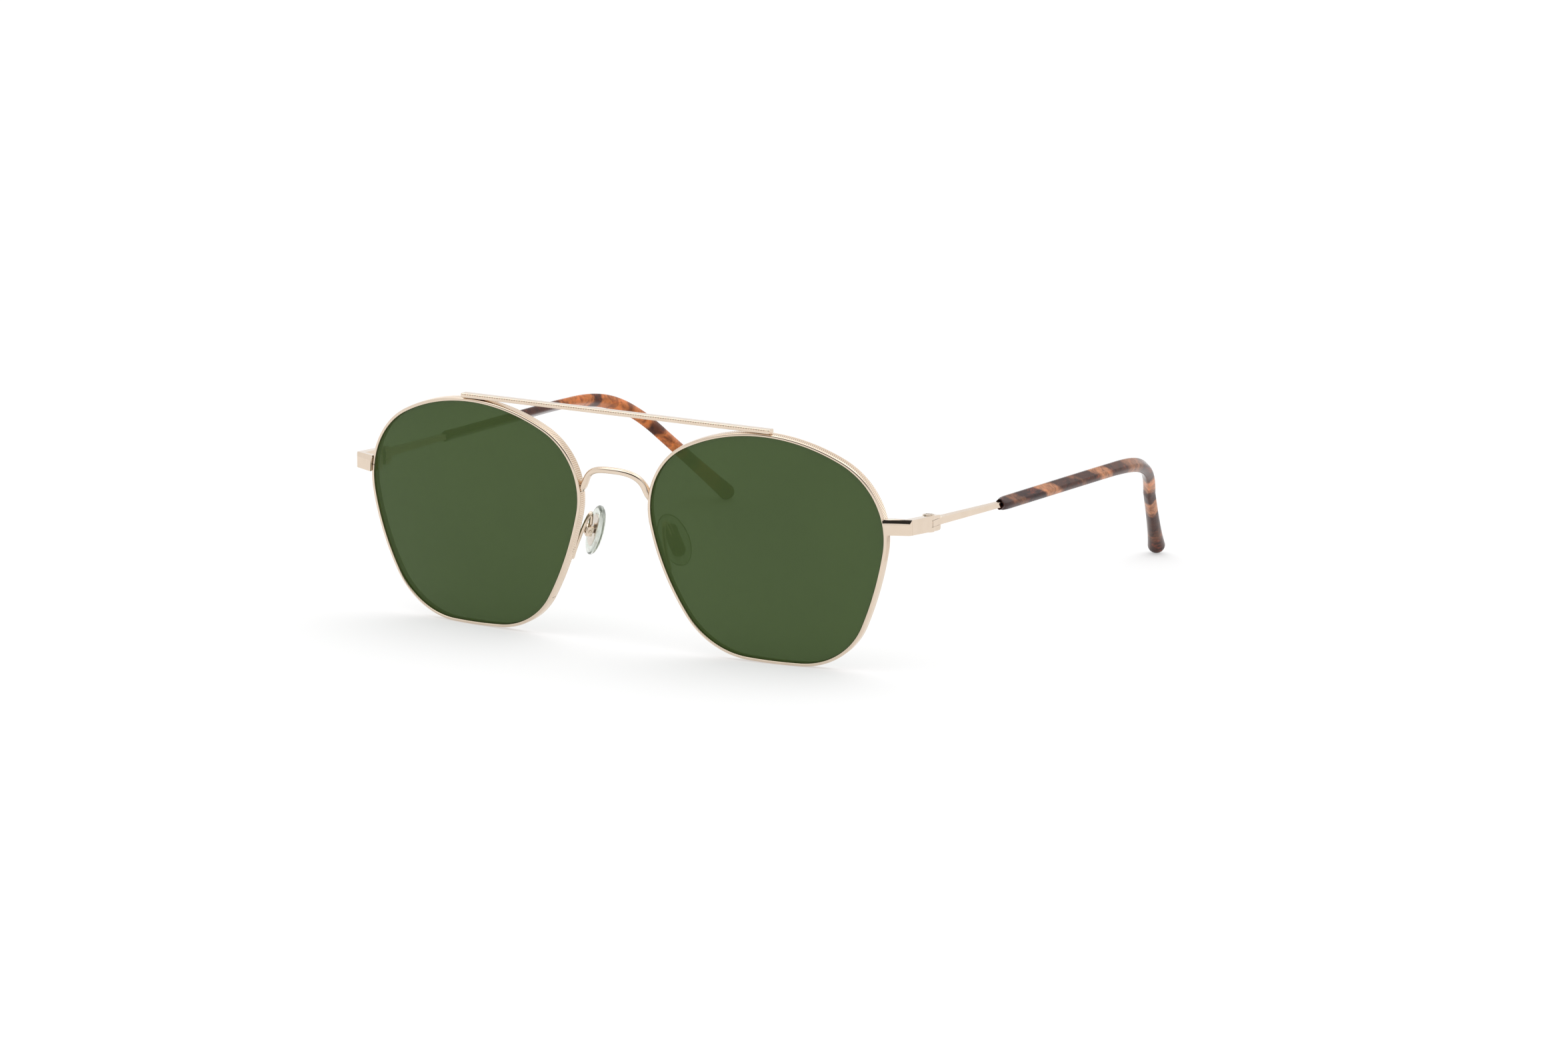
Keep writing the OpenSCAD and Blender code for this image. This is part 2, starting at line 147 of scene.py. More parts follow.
def skin(name, rings, side, sharp_deg=38, along=None):
    """A closed mesh object over rings with equal numbers of points. A cap is a fan to the
    middle of its ring. along gives the "along" attribute's values, ring by ring."""
    bm = bmesh.new()
    layer = bm.verts.layers.float.new("along") if along else None
    rows = []
    for i, ring in enumerate(rings):
        row = [bm.verts.new(place(p, side)) for p in ring]
        if layer:
            for v, value in zip(row, along[i]):
                v[layer] = value
        rows.append(row)
    n = len(rows[0])
    for a, b in zip(rows, rows[1:]):
        for j in range(n):
            bm.faces.new((a[j], a[(j + 1) % n], b[(j + 1) % n], b[j]))
    for end in (0, -1):
        row = rows[end]
        middle = bm.verts.new(sum((v.co for v in row), Vector()) / n)
        if layer:
            middle[layer] = sum(along[end]) / n
        for j in range(n):
            bm.faces.new((row[j], row[(j + 1) % n], middle))
    bmesh.ops.recalc_face_normals(bm, faces=bm.faces)
    mesh = bpy.data.meshes.new(name)
    bm.to_mesh(mesh)
    bm.free()
    mesh.shade_smooth()
    mesh.set_sharp_from_angle(angle=math.radians(sharp_deg))
    obj = bpy.data.objects.new(name, mesh)
    bpy.context.scene.collection.objects.link(obj)
    return obj


def finish_piece(obj, body, material, *nodes):
    """A new piece gets its material, rides on its body and stands for its CAD nodes."""
    obj.data.materials.clear()
    obj.data.materials.append(material)
    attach(obj, body)
    if nodes:
        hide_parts(*nodes)
    return obj


# ---------------------------------------------------------------- materials

class Nodes:
    """A node tree, with short calls for the nodes that the materials and the sky share."""

    def __init__(self, tree):
        self.tree = tree

    def node(self, kind, links=(), **settings):
        n = self.tree.nodes.new(kind)
        for key, value in settings.items():
            setattr(n, key, value)
        for socket, source in dict(links).items():
            if hasattr(source, "is_output"):
                self.tree.links.new(source, n.inputs[socket])
            else:
                n.inputs[socket].default_value = source
        return n

    def ramp(self, fac, stops):
        n = self.node("ShaderNodeValToRGB", {"Fac": fac})
        elements = n.color_ramp.elements
        elements[0].position, elements[0].color = stops[0][0], (*stops[0][1], 1)
        elements[1].position, elements[1].color = stops[-1][0], (*stops[-1][1], 1)
        for position, colour in stops[1:-1]:
            elements.new(position).color = (*colour, 1)
        return n.outputs["Color"]

    def spread(self, fac, low, high, from_low=0.3, from_high=0.7):
        return self.node("ShaderNodeMapRange", {
            "Value": fac, "From Min": from_low, "From Max": from_high,
            "To Min": low, "To Max": high}).outputs["Result"]

    def math(self, operation, a, b=0.0):
        return self.node("ShaderNodeMath", {0: a, 1: b}, operation=operation).outputs[0]

    def mix(self, blend_type, factor, a, b):
        return self.node("ShaderNodeMix", {"Factor": factor, "A": a, "B": b},
                         data_type="RGBA", blend_type=blend_type).outputs["Result"]


class Shader(Nodes):
    """A material with the Principled shader, textured in the object's own axes."""

    def __init__(self, name):
        self.material = bpy.data.materials.new(name)
        self.material.use_nodes = True
        super().__init__(self.material.node_tree)
        self.bsdf = self.tree.nodes["Principled BSDF"]
        self.output = self.tree.nodes["Material Output"]
        self.object_coords = self.node("ShaderNodeTexCoord").outputs["Object"]

    def scaled(self, scale):
        return self.node("ShaderNodeMapping", {
            "Vector": self.object_coords, "Scale": scale}).outputs["Vector"]

    def noise(self, scale, detail=3, roughness=0.55, stretch=(1, 1, 1), distortion=0.0):
        return self.node("ShaderNodeTexNoise", {
            "Vector": self.scaled(stretch), "Scale": scale, "Detail": detail,
            "Roughness": roughness, "Distortion": distortion}).outputs["Fac"]

    def set(self, **inputs):
        for key, value in inputs.items():
            socket = self.bsdf.inputs[key.replace("_", " ")]
            if hasattr(value, "is_output"):
                self.tree.links.new(value, socket)
            else:
                socket.default_value = value

    def bump(self, height, distance, strength=1.0):
        self.set(Normal=self.node("ShaderNodeBump", {
            "Height": height, "Distance": distance, "Strength": strength}).outputs["Normal"])


# The lens: its two body colours, what it lets through and how much of it is open
LENS_BODY_LOW = (0.079, 0.144, 0.015)
LENS_BODY_HIGH = (0.089, 0.159, 0.019)
LENS_THROUGH = (0.272, 0.314, 0.248)
LENS_OPEN = 0.6
# The tips: dark base, streaks, the amber of each side, and how far the cloud edges wander
TORTOISE_DARK = (0.034, 0.009, 0.007)
STREAK = (0.11, 0.022, 0.008)
AMBER_NEAR = (0.50, 0.22, 0.105)
AMBER_FAR = (0.50, 0.155, 0.04)
WANDER, FINE_WANDER = 0.045, 0.016
# How amber the tip is at shares of its length, from the hollow end to the bulb
TORTOISE_LEFT = [
    (0, 0), (0.04, 0.05), (0.05, 0.3), (0.075, 0.25), (0.085, 0), (0.158, 0), (0.168, 0.85),
    (0.213, 0.75), (0.228, 0.05), (0.3, 0.05), (0.31, 0.3), (0.325, 0.05), (0.378, 0.05),
    (0.39, 0.85), (0.428, 0.75), (0.44, 0.08), (0.5, 0.08), (0.52, 0.55), (0.56, 0.5),
    (0.585, 0.08), (0.685, 0.08), (0.7, 0.9), (0.742, 0.85), (0.752, 0.05), (0.79, 0.05),
    (0.8, 0.9), (0.832, 0.85), (0.845, 0.05), (0.905, 0.05), (0.925, 0.25), (0.95, 0.05)]
TORTOISE_RIGHT = [
    (0, 0.02), (0.2, 0.05), (0.425, 0.05), (0.445, 0.75), (0.47, 0.95), (0.53, 1), (0.541, 0.08),
    (0.566, 0.08), (0.576, 0.95), (0.645, 1), (0.656, 0.35), (0.668, 0.35), (0.68, 1),
    (0.725, 0.95), (0.737, 0.12), (0.76, 0.12), (0.77, 0.95), (0.83, 0.9), (0.845, 0.1),
    (0.87, 0.1), (0.885, 0.8), (0.94, 0.7), (0.96, 0.1)]


def metal(name, light, dark, rough, grain=1.0):
    """Plated metal: faint cloudy tone, fine brushing and tiny handling marks."""
    s = Shader(name)
    clouds = s.noise(260, detail=4)
    s.set(Base_Color=s.ramp(clouds, [(0.3, dark), (0.7, light)]), Metallic=1.0)
    brushing = s.noise(5200, detail=2, stretch=(1, 0.12, 1))
    marks = s.noise(900, detail=5, roughness=0.7)
    both = s.math("ADD", s.math("MULTIPLY", brushing, 0.5), s.math("MULTIPLY", marks, 0.5))
    s.set(Roughness=s.spread(both, rough * 0.75, rough * 1.5))
    s.bump(both, 0.000012 * grain, 0.35)
    return s.material


def lens_material():
    """Dark green glass: a glossy tinted body that lets a little light straight through."""
    s = Shader("lens_glass")
    tint = s.noise(38, detail=2)
    s.set(Base_Color=s.ramp(tint, [(0.35, LENS_BODY_LOW), (0.65, LENS_BODY_HIGH)]), IOR=1.5)
    s.set(Roughness=s.spread(s.noise(420, detail=4), 0.015, 0.03))
    s.bump(s.noise(25, detail=1), 0.000002, 0.05)
    through = s.node("ShaderNodeBsdfTransparent", {"Color": (*LENS_THROUGH, 1)})
    mix = s.node("ShaderNodeMixShader",
                 {0: LENS_OPEN, 1: s.bsdf.outputs[0], 2: through.outputs[0]})
    s.tree.links.new(mix.outputs[0], s.output.inputs["Surface"])
    return s.material


def clear_pad_material():
    """Moulded clear silicone, faintly green, with a slight haze and flow marks."""
    s = Shader("clear_pad")
    haze = s.noise(700, detail=4)
    s.set(Base_Color=s.ramp(haze, [(0.3, (0.80, 0.85, 0.78)), (0.7, (0.90, 0.93, 0.88))]),
          Transmission_Weight=0.9, IOR=1.41)
    s.set(Roughness=s.spread(haze, 0.04, 0.12))
    s.bump(s.noise(1500, detail=2), 0.00001, 0.3)
    return s.material


def tortoise_material(name, amber, stops):
    """Dark brown plastic with amber clouds; their places along the tip are in stops."""
    s = Shader(name)
    along = s.node("ShaderNodeAttribute", attribute_name="along").outputs["Fac"]
    wander = s.noise(170, detail=3, distortion=0.6)
    fine = s.noise(900, detail=4)
    for noise, reach in ((wander, WANDER), (fine, FINE_WANDER)):
        along = s.math("ADD", along, s.math("MULTIPLY", s.math("SUBTRACT", noise, 0.5), reach))
    base = s.ramp(along, [
        (position, tuple(lerp(d, a, share) for d, a in zip(TORTOISE_DARK, amber)))
        for position, share in stops])
    clouds = s.ramp(s.noise(520, detail=5, distortion=1.0),
                    [(0.3, (0.4, 0.34, 0.36)), (0.5, (1, 1, 1)), (0.75, (1.5, 1.35, 1.25))])
    cloudy = s.mix("MULTIPLY", 1.0, base, clouds)
    # Thin red-brown streaks through the dark parts
    streaks = s.spread(s.noise(340, detail=6, stretch=(1, 0.45, 1.6), distortion=1.6),
                       0, 1, 0.56, 0.68)
    streaked = s.mix("ADD", streaks, cloudy, (*STREAK, 1))
    s.set(Base_Color=streaked, IOR=1.5, Specular_IOR_Level=0.2)
    s.set(Roughness=s.spread(s.noise(1400, detail=4), 0.06, 0.14))
    s.bump(s.noise(600, detail=3), 0.00001, 0.25)
    return s.material


GOLD = metal("polished_gold", (0.76, 0.635, 0.515), (0.72, 0.595, 0.475), 0.07)
SCREW = metal("screw_metal", (0.74, 0.62, 0.50), (0.62, 0.52, 0.42), 0.16, 2.0)
PAD_METAL = metal("pad_metal", (0.80, 0.74, 0.66), (0.68, 0.62, 0.55), 0.22, 2.0)
LENS = lens_material()
CLEAR = clear_pad_material()
TORTOISE = {
    LEFT: tortoise_material("tortoise_left", AMBER_NEAR, TORTOISE_LEFT),
    RIGHT: tortoise_material("tortoise_right", AMBER_FAR, TORTOISE_RIGHT)}


# ---------------------------------------------------------------- lens outline

# Corner arcs (u, v, radius): outer top, inner top, inner bottom, outer bottom
CORNERS = ((9.3, 4.5, 17.3), (-11.1, 6.4, 15.4), (-4.0, -6.7, 17.1), (6.7, -8.3, 15.8))
SIDE_RADII = (38.5, 61.0, 148.0, 68.0)
SPLIT_DEG, SLIT_DEG = 8.0, 0.2
LENS_X, LENS_Z, LENS_RADIUS, LENS_THICK = 35.5, 24.72, 125.0, 1.8
LENS_TURN = (Matrix.Translation((LENS_X, 0, LENS_Z)) @ Matrix.Rotation(math.radians(4.7), 4, "X")
             @ Matrix.Rotation(math.radians(5.2), 4, "Z"))


def side_centre(i):
    a, b = CORNERS[i], CORNERS[(i + 1) % 4]
    ra, rb = SIDE_RADII[i] - a[2], SIDE_RADII[i] - b[2]
    start, d = Vector(a[:2]), Vector(b[:2]) - Vector(a[:2])
    t = (ra * ra - rb * rb + d.length_squared) / (2 * d.length)
    u = d.normalized()
    return start + u * t + Vector((-u.y, u.x)) * math.sqrt(ra * ra - t * t)


def lens_arcs():
    """The outline's arcs (centre, radius, start, end), in order, from the slit round to it."""
    def angle(i, centre):
        d = Vector(CORNERS[i][:2]) - centre
        return math.atan2(d.y, d.x)

    def after(a, floor_a):
        return a + math.tau if a < floor_a else a
    split, slit = math.radians(SPLIT_DEG), math.radians(SLIT_DEG)
    arcs = []
    for i in range(4):
        centre = Vector(CORNERS[i][:2])
        start = angle(i, side_centre((i + 3) % 4))
        end = after(angle(i, side_centre(i)), start)
        if i == 0:
            closing = (centre, CORNERS[0][2], start, split - slit)
            start = split + slit
        arcs.append((centre, CORNERS[i][2], start, end))
        arcs.append((side_centre(i), SIDE_RADII[i], end,
                     after(angle((i + 1) % 4, side_centre(i)), end)))
    return arcs + [closing]


ARCS = lens_arcs()
ARC_LENGTHS = [r * (a1 - a0) for _, r, a0, a1 in ARCS]
RIM_LENGTH = sum(ARC_LENGTHS)


def outline(s, growth):
    """The point of the outline at length s, moved outwards by growth."""
    s = min(max(s, 0.0), RIM_LENGTH)
    i = 0
    while i < len(ARCS) - 1 and s > ARC_LENGTHS[i]:
        s -= ARC_LENGTHS[i]
        i += 1
    centre, r, start, _ = ARCS[i]
    a = start + s / r
    return centre + Vector((math.cos(a), math.sin(a))) * (r + growth)


def on_dome(p, depth):
    """A point of the lens outline, depth behind the domed front, in the drawing axes."""
    return LENS_TURN @ Vector((p[0], (p[0] ** 2 + p[1] ** 2) / (2 * LENS_RADIUS) + depth, p[1]))


# ---------------------------------------------------------------- lenses

# Steps from the middle to the edge, points round, and how far it stays inside its outline
LENS_STEPS, LENS_POINTS, LENS_INSET = 20, 220, 0.03
# The lens's edge as (growth, depth): a V that sits in the rim's groove, between two chamfers
LENS_EDGE = ((-0.07, 0.0), (-LENS_INSET, 0.04), (-LENS_INSET, 0.32), (0.28, 0.62), (0.28, 0.68),
             (-LENS_INSET, 0.98), (-LENS_INSET, LENS_THICK - 0.04), (-0.07, LENS_THICK))


def lens(name, side):
    n = int(LENS_POINTS * DENSITY)
    shares = [k / LENS_STEPS for k in range(1, LENS_STEPS)]
    steps = [(share, -LENS_INSET, 0.0) for share in shares]
    steps += [(1, growth, depth) for growth, depth in LENS_EDGE]
    steps += [(share, -LENS_INSET, LENS_THICK) for share in reversed(shares)]
    rings = []
    for share, growth, depth in steps:
        rings.append([on_dome(outline(RIM_LENGTH * k / n, growth) * share, depth)
                      for k in range(n)])
    obj = skin("lens_glass_" + name, rings, side, sharp_deg=30)
    finish_piece(obj, "front", LENS, "lens_" + name)


# ---------------------------------------------------------------- rims

RIM_WIDE = 0.72
RIM_BACK = 1.7
RIDGE_PITCH = 0.42
RIDGE_CUT = 0.1
# A ridge's rings as (share of the pitch, share of the cut): a flat land and a narrow groove
RIDGE = ((0.0, 0.0), (0.3, 0.0), (0.62, 0.0), (0.81, 1.0))
RIDGE_SLANT = {LEFT: 0.28, RIGHT: 0.04}
# The ridges fade in between these distances from the slit, and slant beyond this growth
RIDGE_FADE, RIDGE_FACE = (0.3, 1.6), 0.65


def rim_profile():
    """(growth, depth, how far the ridges reach here), from the groove round to the lip."""
    inner = [(0.34, 0.65), (0.0, 1.03), (0.0, 1.6), (0.05, 1.68), (0.12, RIM_BACK)]
    back = [(0.42, RIM_BACK), (0.56, 1.68), (0.66, 1.6), (0.705, 1.5)]
    outer = [(RIM_WIDE, d) for d in (1.42, 1.34, 0.9, 0.5, 0.1, -0.04)]
    edge = [(0.71, -0.13), (0.685, -0.21)]
    front = [(0.645, -0.285), (0.585, -0.35), (0.51, -0.40), (0.42, -0.432), (0.32, -0.448),
             (0.22, -0.44), (0.15, -0.415), (0.11, -0.39), (0.04, -0.30), (0.0, -0.20)]
    lip = [(0.0, 0.2), (0.02, 0.27)]
    rows = [(g, d, 0.0) for g, d in inner + back]
    rows += [(g, d, 1.0 if d <= 1.35 else 0.0) for g, d in outer]
    rows += [(edge[0][0], edge[0][1], 0.7), (edge[1][0], edge[1][1], 0.3)]
    return rows + [(g, d, 0.0) for g, d in front + lip]


def rim(name, side):
    profile = rim_profile()
    count = int(RIM_LENGTH / RIDGE_PITCH)
    pitch = RIM_LENGTH / count
    middle = RIM_BACK / 2
    rings = []
    for k in range(count * len(RIDGE) + 1):
        share, cut_share = RIDGE[k % len(RIDGE)]
        s = min((k // len(RIDGE) + share) * pitch, RIM_LENGTH)
        fade = smoothstep(*RIDGE_FADE, min(s, RIM_LENGTH - s))
        ring = []
        for growth, depth, ridged in profile:
            slant = RIDGE_SLANT[side] if growth > RIDGE_FACE else 0.0
            shift = slant * (depth - middle) * fade
            growth -= RIDGE_CUT * cut_share * fade * ridged
            ring.append(on_dome(outline(s + shift, growth), depth))
        rings.append(ring)
    obj = skin("rim_wire_" + name, rings, side, sharp_deg=34)
    finish_piece(obj, "front", GOLD, "rim_" + name)


# ---------------------------------------------------------------- brow bar and bridge

BAR_HALF, BAR_BOTTOM, BAR_HIGH, BAR_FRONT, BAR_DEEP = 37.3, 49.98, 0.9, -0.35, 2.0
# The beaded line: pitch and depth of its notches, and its edges below the bar's top
BEAD_PITCH, BEAD_NOTCH = 0.6, 0.03
BEAD_LOW, BEAD_HIGH = 0.34, 0.12
# How far from a bar's end its rounding starts, and how small the section is at the very end
BAR_ROUNDING, BAR_END_SHARE = 0.35, 0.88


def brow_bar():
    """A straight bar with a fine notched line along the top of its front."""
    front, back, top = BAR_FRONT, BAR_FRONT + BAR_DEEP, BAR_BOTTOM + BAR_HIGH
    # From the bottom front round the back to the bevel, its line and the front face
    corners = [(front, BAR_BOTTOM), (back, BAR_BOTTOM), (back, top), (front + 0.3, top),
               (front + 0.1, top - 0.1), (front + 0.04, top - 0.26), (front + 0.08, top - 0.3),
               (front, top - 0.35)]
    section = rounded_polygon(corners, [0.14, 0.12, 0.14, 0.1, 0.08, 0.03, 0.02, 0.02], 3)
    middle_y, middle_z = (front + back) / 2, (BAR_BOTTOM + top) / 2
    count = int(2 * BAR_HALF / BEAD_PITCH) * 4
    rings = []
    for k in range(count + 1):
        x = -BAR_HALF + 2 * BAR_HALF * k / count
        end = BAR_HALF - abs(x)
        inward = min(end / BAR_ROUNDING, 1.0)
        shrink = lerp(BAR_END_SHARE, 1, math.sqrt(max(0.0, 1 - (1 - inward) ** 2)))
        notch = BEAD_NOTCH if k % 4 == 0 and end > 1 else 0.0
        ring = []
        for y, z in section:
            cut = notch if y < front + 0.12 and top - BEAD_LOW < z < top - BEAD_HIGH else 0.0
            ring.append(Vector((x, middle_y + (y - middle_y) * shrink + cut,
                                middle_z + (z - middle_z) * shrink)))
        rings.append(ring)
    obj = skin("brow_bar_bead", rings, LEFT, sharp_deg=34)
    finish_piece(obj, "front", GOLD, "brow_bar")


BRIDGE_HALF, BRIDGE_FOOT_Z, BRIDGE_TOP, BRIDGE_WIRE, BRIDGE_SQUARE = 7.3, 32.7, 39.1, 1.45, 0.7
FOOT_FLARE, FOOT_WIDE, FOOT_TAPER = 0.4, 0.5, 1.7
BRIDGE_DEEP, FOOT_DEEP, FOOT_TUCK = 1.2, 0.9, 1.2
# How far the feet splay at their very ends, where the arch's top lies and how far the feet sweep
FOOT_SPLAY, ARCH_FRONT, FOOT_SWEEP = 0.35, -1, 1.6
# Half the wire's width between the flats of its eight-sided CAD section, as a share of its width
SECTION_HALF = 0.462


def bridge():
    """An arched wire. The high powers keep the changes of the feet to their very ends."""
    count = 128
    path = []
    for k in range(count + 1):
        a = math.pi * (1 - k / count)
        c, s = math.cos(a), abs(math.sin(a))
        x = abs(c) ** BRIDGE_SQUARE
        half = BRIDGE_HALF * x + FOOT_FLARE * abs(c) ** 16 + FOOT_SPLAY * abs(c) ** 60
        path.append(Vector((
            half * math.copysign(1, c),
            ARCH_FRONT + FOOT_SWEEP * x ** 3,
            BRIDGE_FOOT_Z + (BRIDGE_TOP - BRIDGE_WIRE / 2 - BRIDGE_FOOT_Z) * s ** BRIDGE_SQUARE)))

    def section(i):
        f = abs(1 - 2 * i / count)
        w = (BRIDGE_WIRE + FOOT_WIDE * f ** 4 - FOOT_TAPER * f ** 24) * SECTION_HALF
        d = (BRIDGE_DEEP + FOOT_DEEP * f ** 8 - FOOT_TUCK * f ** 40) * SECTION_HALF
        corners = [(-w, -d), (w, -d), (w, d * 0.55), (w * 0.7, d), (-w * 0.35, d), (-w, d * 0.15)]
        return rounded_polygon(corners, [w * 0.5, w * 0.5, d * 0.4, d * 0.4, w * 0.5, w * 0.5], 4)
    rings = sweep(path, section, Vector((0, -1, 0)))
    obj = skin("bridge_arch", rings, LEFT, sharp_deg=50)
    finish_piece(obj, "front", GOLD, "bridge")


# ---------------------------------------------------------------- nose pads

PAD_AT = Vector((10.45, 7.35, 23.1))
PAD_TURN = Matrix.Translation(PAD_AT)
for degrees, axis_name in ((39, "Z"), (-21, "Y"), (-8, "X")):
    PAD_TURN = PAD_TURN @ Matrix.Rotation(math.radians(degrees), 4, axis_name)
PAD_WIDE, PAD_LONG, PLATE_Y, PLATE_T = 3.2, 5.8, 0.9, 0.45
# The pad's round face: shares of its half width and half length, and the depth off the plate
PAD_FACE = ((0.80, 0.88, 0.03), (0.97, 0.98, 0.25), (0.995, 0.995, 0.55), (0.95, 0.965, 0.95),
            (0.78, 0.83, 1.38), (0.42, 0.46, 1.69), (0.06, 0.06, 1.77))
# The arm rises from the rim and falls to the box: each end with its two control points
ARM_RISE = [Vector(p) for p in ((11.95, 2.98, 17.6), (10.5, 2.75, 21.5), (9.2, 4.3, 26.4),
                                (9.0, 5.5, 27.0))]
ARM_FALL = [Vector(p) for p in ((9.0, 5.5, 27.0), (9.1, 6.2, 27.35), (9.6, 6.95, 26.1),
                                (10.0, 7.15, 24.2))]
# The arm's radius, between the flats and the corners of its ten-sided CAD wire
ARM_RADIUS = 0.432


def pad_arm(name, side):
    rise = [bezier(*ARM_RISE, k / 48) for k in range(48)]
    fall = [bezier(*ARM_FALL, k / 36) for k in range(37)]
    path = rise + fall
    last = len(path) - 1

    def section(i):
        # The root flattens where it is brazed to the rim; both ends are a little rounded
        flat = 1 + 0.25 * (1 - smoothstep(0, 8, i))
        end = 0.8 if i in (0, last) else 1.0
        return [(x * end * flat, y * end) for x, y in circle(ARM_RADIUS, 18)]
    obj = skin("pad_arm_wire_" + name, sweep(path, section, Vector((1, 0.3, 0))), side)
    finish_piece(obj, "front", GOLD, "pad_arm_" + name)


def nose_pad(name, side):
    profile = [(1.9, 4.2, PLATE_Y + PLATE_T + 0.02), (1.9, 4.2, PLATE_Y + 0.05)]
    face = [(w * PAD_WIDE, h * PAD_LONG, PLATE_Y + depth) for w, h, depth in PAD_FACE]
    outside = catmull([(2.0, 4.35, PLATE_Y)] + face, 4)
    profile += [tuple(p) for p in outside]
    n = 72
    rings = []
    for half_wide, half_long, depth in profile:
        rings.append([PAD_TURN @ Vector((half_wide * x, depth, half_long * z))
                      for x, z in circle(1, n)])
    obj = skin("nose_pad_clear_" + name, rings, side, sharp_deg=45)
    finish_piece(obj, "pad_" + name, CLEAR, "nose_pad_" + name)


# ---------------------------------------------------------------- temple tips

COLLAR = Vector((67.9, 43.5, 30.5))
BEND_START, BEND_END = Vector((67.95, 87, 29.15)), Vector((61.0, 124.2, 17.5))
BEND_A, BEND_B = Vector((67.9, 105, 28.5)), Vector((66.4, 114.2, 27.9))
TIP_END = Vector((54.1, 141.0, 2.1))
TIP_WIDE, TIP_LEAN = 2.65, -0.46
# Stations along the tip: 0 collar, 2 full section, 8 and 22 the bend's ends, 28 the bulb, 30 end
FULL, BEND_0, BEND_1, BULB, LAST = 2, 8, 22, 28, 30
BENT, WAIST = 10, 19
BULB_AXIS = 1.94
# How much the section grows: at the bend, in height after it, towards the bulb and at the bulb
BEND_SWELL, DROP_HEIGHT, SHAFT_GROWTH, BULB_WIDER, BULB_TALLER = 0.3, 0.2, 0.3, 0.88, 0.54
# How far along the first stations lie from the collar, in millimetres
NEAR_COLLAR = (0.0, 0.9, 3.2)
COLLAR_WIDE, BORE_WIDE, CORE_WIDE = 2.3, 1.8, 1.45
# The rounding of the section's edges before the bend and after it
CRISP_EDGE, SOFT_EDGE = (0.08, 0.48), (0.45, 1.25)
# How far the cloud pattern slants from the tip's bottom to its top, as a share of its length
PATTERN_SLANT = 0.02


def tip_point(station):
    """The tip's axis: straight from the collar, through the bend and down to the bulb's end."""
    if station <= BEND_0:
        near = NEAR_COLLAR
        run = (BEND_START - COLLAR).length
        if station <= FULL:
            i = min(int(station), FULL - 1)
            length = lerp(near[i], near[i + 1], station - i)
        else:
            length = lerp(near[-1], run, (station - FULL) / (BEND_0 - FULL))
        return COLLAR.lerp(BEND_START, length / run)
    if station <= BEND_1:
        return bezier(BEND_START, BEND_A, BEND_B, BEND_END, (station - BEND_0) / (BEND_1 - BEND_0))
    if station <= BULB:
        return BEND_END.lerp(TIP_END, (station - BEND_1) / (BULB - BEND_1))
    axis = (TIP_END - BEND_END).normalized()
    return TIP_END + axis * BULB_AXIS * math.sin((station - BULB) / (LAST - BULB) * math.pi / 2)


def tip_size(station):
    """Width, height and lean of the tip's section."""
    if station < FULL:
        size = lerp(COLLAR_WIDE, TIP_WIDE, smoothstep(-0.2, 1.5, station))
        return size, size, TIP_LEAN * smoothstep(0, FULL, station)
    if station <= BENT:
        return TIP_WIDE, TIP_WIDE, TIP_LEAN
    if station <= WAIST:
        g = (station - BENT) / (WAIST - BENT)
        full = BEND_SWELL * math.sin(math.pi * g)
        return TIP_WIDE + full, TIP_WIDE + full + DROP_HEIGHT * g, TIP_LEAN * (1 - g)
    f = (min(station, BULB) - WAIST) / (BULB - WAIST)
    w = TIP_WIDE + SHAFT_GROWTH * f * f + BULB_WIDER * f ** 6
    h = TIP_WIDE + DROP_HEIGHT + SHAFT_GROWTH * f * f + BULB_TALLER * f ** 6
    if station > BULB:
        shrink = math.cos((station - BULB) / (LAST - BULB) * math.pi / 2)
        w, h = w * shrink, h * shrink
    return w, h, 0.0


def filed(w, h, lean, rounding):
    """Eight-sided section with rounded corners; lean shifts its top sideways."""
    # The flats at the top, bottom and sides reach this share of the half size each way
    f = 0.22
    corners = [(1, -f), (1, f), (f, 1), (-f, 1), (-1, f), (-1, -f), (-f, -1), (f, -1)]
    points = [(x * w / 2 + lean * y * h / 2, y * h / 2) for x, y in corners]
    return rounded_polygon(points, rounding, 4)


